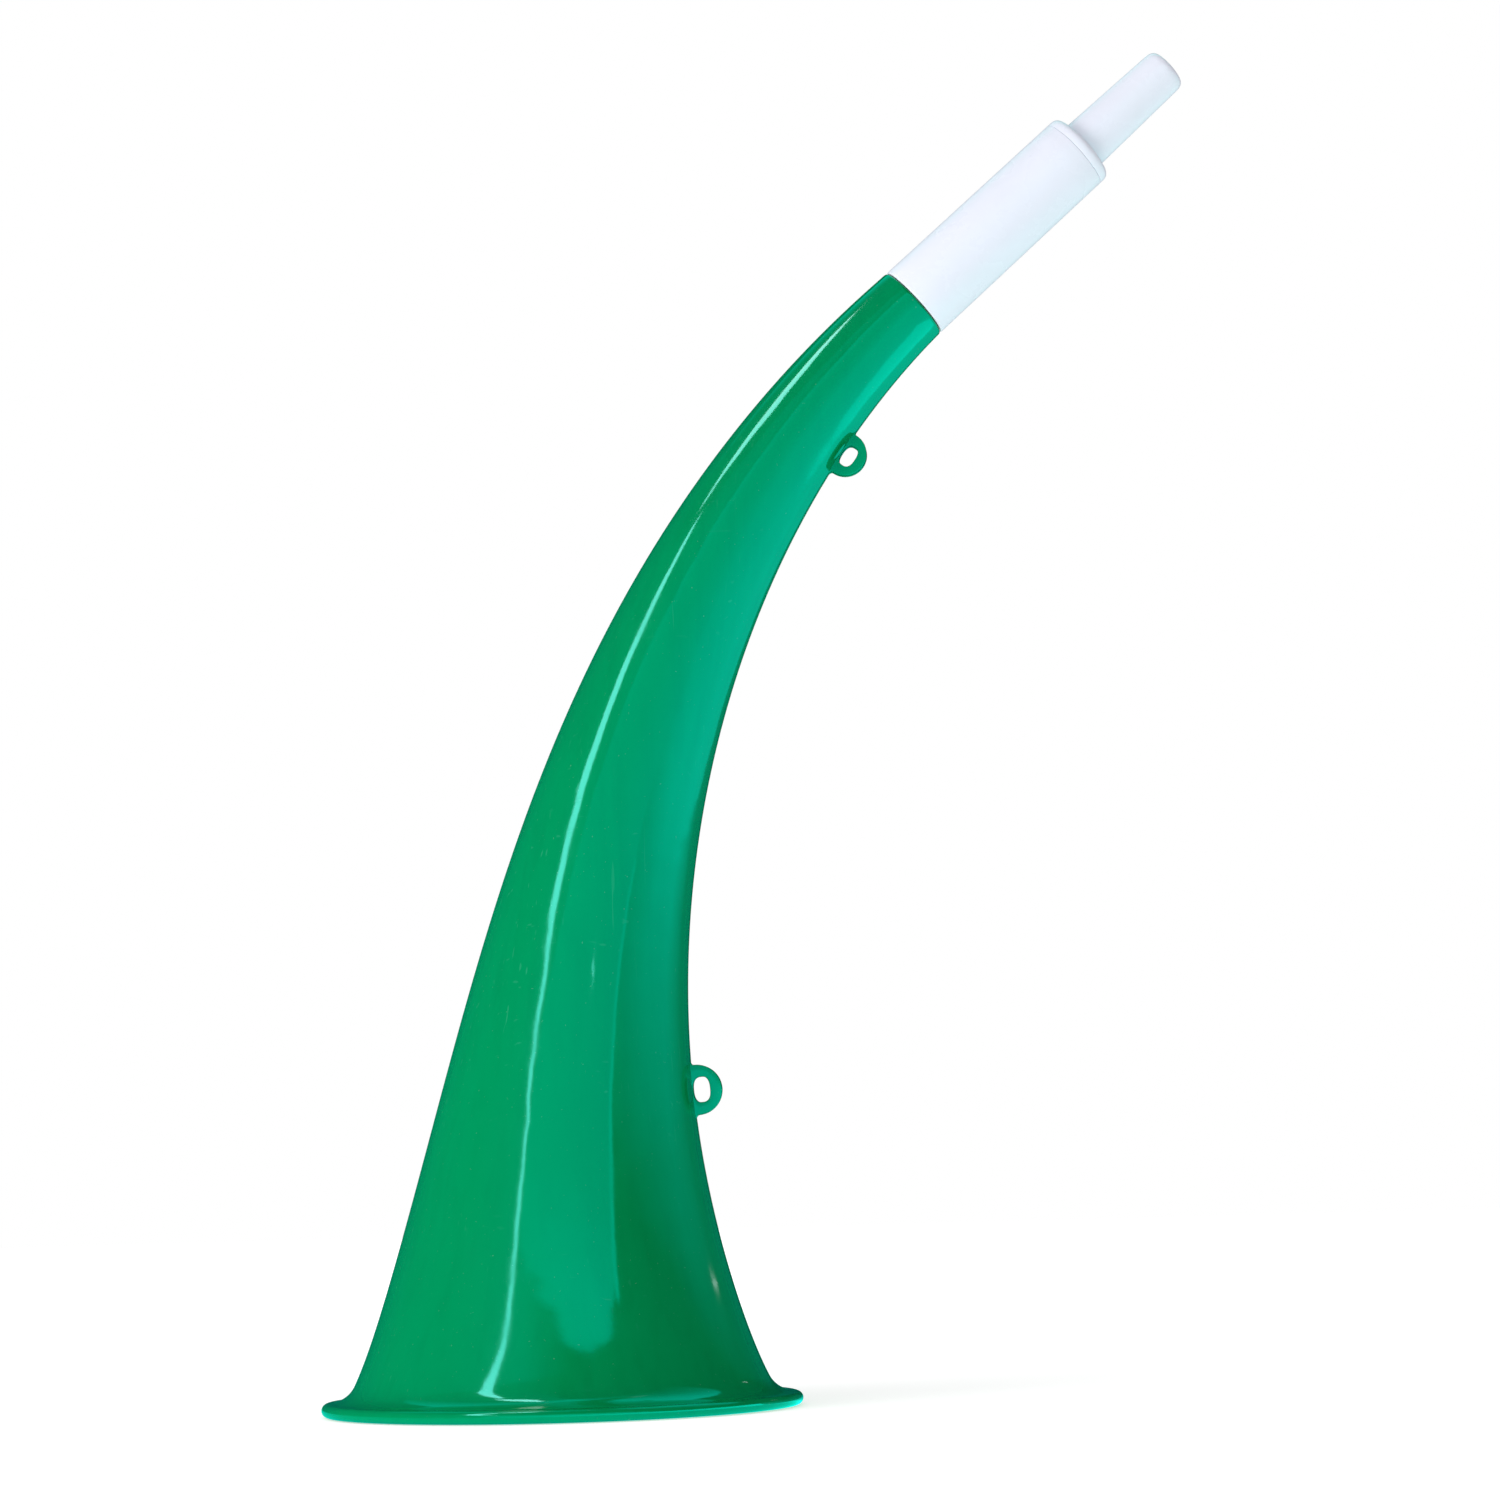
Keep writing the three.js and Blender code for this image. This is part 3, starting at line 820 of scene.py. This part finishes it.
# Walls: pairs of bearing and top
WINDOW_TOPS = (
    (-26, 1.46),
    (-19, 1.58),
    (-11, 1.67),
    (-1, 1.79),
    (9, 1.98),
    (16, 2.06),
    (26, 2.08),
    (36, 1.93),
    (44, 1.7),
    (46, 1.5),
)
STRIP_TOPS = ((45.6, 1.6), (48.4, 1.6))
LOW_TOPS = ((46, 1.15), (172, 1.15))
RIM_TOPS = ((-35, 0.1), (112, 0.1))
FAR_TOPS = ((-180, ROOM_HEIGHT), (180, ROOM_HEIGHT))

# Ribbons of light: X, Y, Z and width of each place
RIBBONS = (
    (
        "tube_top",
        (
            (-0.1098, 0.02, 0.4796, 0.015),
            (-0.131, -0.02, 0.453, 0.06),
            (-0.1535, -0.055, 0.4295, 0.09),
            (-0.1682, -0.078, 0.4148, 0.085),
        ),
    ),
    (
        "tube_low",
        (
            (-0.1883, -0.108, 0.3945, 0.012),
            (-0.1979, -0.124, 0.3828, 0.03),
            (-0.223, -0.16, 0.359, 0.055),
            (-0.26, -0.22, 0.318, 0.065),
            (-0.267, -0.27, 0.285, 0.045),
            (-0.246, -0.31, 0.258, 0.024),
            (-0.212, -0.36, 0.225, 0.014),
        ),
    ),
    ("glint_mark", ((-0.0041, -0.1355, 0.1425, 0.004), (0.0027, -0.1336, 0.1369, 0.004))),
    ("glint_dot", ((0.074, 0.0605, 0.0591, 0.0017), (0.067, 0.0709, 0.0561, 0.0017))),
)


def seen_share(tree):
    """1 for the rays that show a thing itself, and 0 for those that gather its light."""
    path = tree.nodes.new("ShaderNodeLightPath")
    share = path.outputs[SEEN_KINDS[0]]
    for kind in SEEN_KINDS[1:]:
        share = math_node(tree, "MAXIMUM", share, path.outputs[kind])
    return share


def pale_world():
    world = bpy.data.worlds.new("pale_room")
    world.use_nodes = True
    tree = world.node_tree
    background = tree.nodes["Background"]
    background.inputs["Color"].default_value = (1, 1, 1, 1)
    strength = range_node(tree, seen_share(tree), 0.0, 1.0, SKY_LEVEL, 1.0)
    tree.links.new(strength, background.inputs["Strength"])
    bpy.context.scene.world = world


def matte_material(name, glow_colour):
    """A dull surface that glows, with its shader."""
    material = bpy.data.materials.new(name)
    material.use_nodes = True
    shader = material.node_tree.nodes["Principled BSDF"]
    shader.inputs["Roughness"].default_value = 1.0
    shader.inputs["Specular IOR Level"].default_value = 0.0
    shader.inputs["Emission Color"].default_value = (*glow_colour, 1)
    return material, shader


def pale_floor():
    """Pale around the object, where it keeps the shadow, and white like the room farther out."""
    mesh = bmesh.new()
    bmesh.ops.create_circle(mesh, cap_ends=True, segments=FLOOR_STEPS, radius=FLOOR_RADIUS)
    material, shader = matte_material("pale_floor", (1, 1, 1))
    tree = material.node_tree
    place = tree.nodes.new("ShaderNodeTexCoord").outputs["Object"]
    length = tree.nodes.new("ShaderNodeVectorMath")
    length.operation = "LENGTH"
    tree.links.new(place, length.inputs[0])
    far = range_node(tree, length.outputs["Value"], *FLOOR_FADE)
    tree.links.new(mix_colour(tree, far, FLOOR_NEAR, FLOOR_FAR), shader.inputs["Base Color"])
    glow = range_node(tree, far, 0.0, 1.0, FLOOR_NEAR_GLOW, 1.0)
    tree.links.new(math_node(tree, "MULTIPLY", seen_share(tree), glow), shader.inputs["Emission Strength"])
    floor = placed_object(mesh, "floor", material)
    floor.location.z = FLOOR_HEIGHT


def lamp(name, place, target, side, radiance):
    """A soft square lamp that lights the object but isn't mirrored in it."""
    data = bpy.data.lights.new(name, "AREA")
    data.shape = "SQUARE"
    data.size = side
    data.energy = radiance * math.pi * side * side
    holder = bpy.data.objects.new(name, data)
    back = (Vector(place) - Vector(target)).normalized()
    holder.matrix_world = Matrix.Translation(place) @ back.to_track_quat("Z", "Y").to_matrix().to_4x4()
    holder.visible_glossy = False
    holder.visible_camera = False
    bpy.context.scene.collection.objects.link(holder)


def glow_material(name, colour, strength):
    material, shader = matte_material(name, colour)
    shader.inputs["Base Color"].default_value = (0, 0, 0, 1)
    shader.inputs["Emission Strength"].default_value = strength
    return material


def mirrored_only(mesh, name, material):
    """A panel of the studio that shows only in the object's shine."""
    panel = placed_object(mesh, name, material)
    panel.visible_camera = False
    panel.visible_diffuse = False
    panel.visible_transmission = False
    panel.visible_shadow = False


def ramp_node(tree, value, stops):
    """A smooth row of strengths over a value from 0 to 1."""
    ramp = tree.nodes.new("ShaderNodeValToRGB")
    tree.links.new(value, ramp.inputs["Fac"])
    elements = ramp.color_ramp.elements
    while len(elements) < len(stops):
        elements.new(0.5)
    for element, (place, strength) in zip(elements, stops):
        element.position = place
        element.color = (strength, strength, strength, 1)
    return ramp.outputs["Color"]


def graded_glow(name, bearings, heights=None):
    """A cool glow that follows the bearing and, where it is given, the height."""
    material = glow_material(name, COOL, 1.0)
    tree = material.node_tree
    place = tree.nodes.new("ShaderNodeTexCoord").outputs["Object"]
    parts = tree.nodes.new("ShaderNodeSeparateXYZ")
    tree.links.new(place, parts.inputs["Vector"])
    front = math_node(tree, "MULTIPLY", parts.outputs["Y"], -1.0)
    bearing = math_node(tree, "ARCTAN2", parts.outputs["X"], front)
    share = range_node(tree, bearing, -math.pi, math.pi)
    strength = ramp_node(tree, share, [((degrees + 180) / 360, glow) for degrees, glow in bearings])
    if heights:
        share = range_node(tree, parts.outputs["Z"], 0.0, ROOM_HEIGHT)
        fade = ramp_node(tree, share, [(height / ROOM_HEIGHT, glow) for height, glow in heights])
        strength = math_node(tree, "MULTIPLY", strength, fade)
    tree.links.new(strength, tree.nodes["Principled BSDF"].inputs["Emission Strength"])
    return material


def height_at(tops, bearing):
    for (first, low), (last, high) in zip(tops, tops[1:]):
        if first <= bearing <= last:
            return low + (high - low) * (bearing - first) / (last - first)
    return tops[-1][1]


def curved_wall(name, distance, low, tops, material):
    """An upright wall about the object, with its top given as pairs of bearing and height."""
    first = tops[0][0]
    last = tops[-1][0]
    mesh = bmesh.new()
    bearings = [first + (last - first) * index / WALL_STEPS for index in range(WALL_STEPS + 1)]
    places = [(distance * math.sin(math.radians(b)), -distance * math.cos(math.radians(b))) for b in bearings]
    verts = [mesh.verts.new((x, y, low)) for x, y in places]
    edges = [mesh.edges.new(pair) for pair in zip(verts, verts[1:])]
    made = bmesh.ops.extrude_edge_only(mesh, edges=edges)["geom"]
    for vert in [item for item in made if isinstance(item, bmesh.types.BMVert)]:
        nearest = min(range(len(places)), key=lambda k: math.dist(places[k], vert.co.xy))
        vert.co.z = height_at(tops, bearings[nearest])
    mirrored_only(mesh, name, material)


def level_sheet(name, height, material):
    """A flat level sheet about the object."""
    mesh = bmesh.new()
    bmesh.ops.create_grid(mesh, x_segments=1, y_segments=1, size=SHEET_REACH)
    bmesh.ops.translate(mesh, vec=(0, 0, height), verts=mesh.verts)
    mirrored_only(mesh, name, material)


def ribbon(name, places, material):
    """A ribbon of light through places, level across, each with its own width."""
    mesh = bmesh.new()
    loops = []
    for share in (-0.5, 0.5):
        verts = [mesh.verts.new((x + share * width, y, z)) for x, y, z, width in places]
        loops += [mesh.edges.new(pair) for pair in zip(verts, verts[1:])]
    bmesh.ops.bridge_loops(mesh, edges=loops)
    mirrored_only(mesh, name, material)


pale_world()
pale_floor()
for values in LAMPS:
    lamp(*values)

tube_light = glow_material("tube_light", TUBE_COLOUR, TUBE_GLOW)
strip_light = glow_material("strip_light", COOL, STRIP_GLOW)
window_light = graded_glow("window_light", WINDOW_STOPS, WINDOW_HEIGHTS)
rim_light = graded_glow("rim_light", RIM_STOPS)
wall_light = graded_glow("wall_light", WALL_STOPS)
ceiling_light = graded_glow("ceiling_light", CEILING_STOPS)
low_light = graded_glow("low_light", LOW_STOPS, LOW_HEIGHTS)
table_light = graded_glow("table_light", TABLE_STOPS)

curved_wall("front_window", WINDOW_REACH, 0.0, WINDOW_TOPS, window_light)
curved_wall("second_strip", STRIP_REACH, STRIP_LOW, STRIP_TOPS, strip_light)
curved_wall("low_wall", LOW_WALL_REACH, 0.0, LOW_TOPS, low_light)
curved_wall("rim_strip", RIM_STRIP_REACH, 0.0, RIM_TOPS, rim_light)
curved_wall("far_wall", ROOM_REACH, 0.0, FAR_TOPS, wall_light)
level_sheet("ceiling", ROOM_HEIGHT, ceiling_light)
level_sheet("table", TABLE_HEIGHT, table_light)
for name, places in RIBBONS:
    ribbon(name, places, tube_light)

camera_data = bpy.data.cameras.new("camera")
camera_data.sensor_width = SENSOR_WIDTH
camera_data.lens = FOCAL_PIXELS / IMAGE_PIXELS * SENSOR_WIDTH
camera_data.clip_start = CLIP_START
camera = bpy.data.objects.new("camera", camera_data)
bpy.context.scene.collection.objects.link(camera)
level = Matrix.Rotation(CAMERA_YAW, 4, "Z") @ Matrix.Rotation(math.pi / 2 + CAMERA_PITCH, 4, "X")
camera.matrix_world = (
    Matrix.Translation(Vector(CAMERA_PLACE) * MM) @ level @ Matrix.Rotation(-CAMERA_ROLL, 4, "Z")
)
bpy.context.scene.camera = camera
bpy.context.scene.view_settings.view_transform = "Standard"
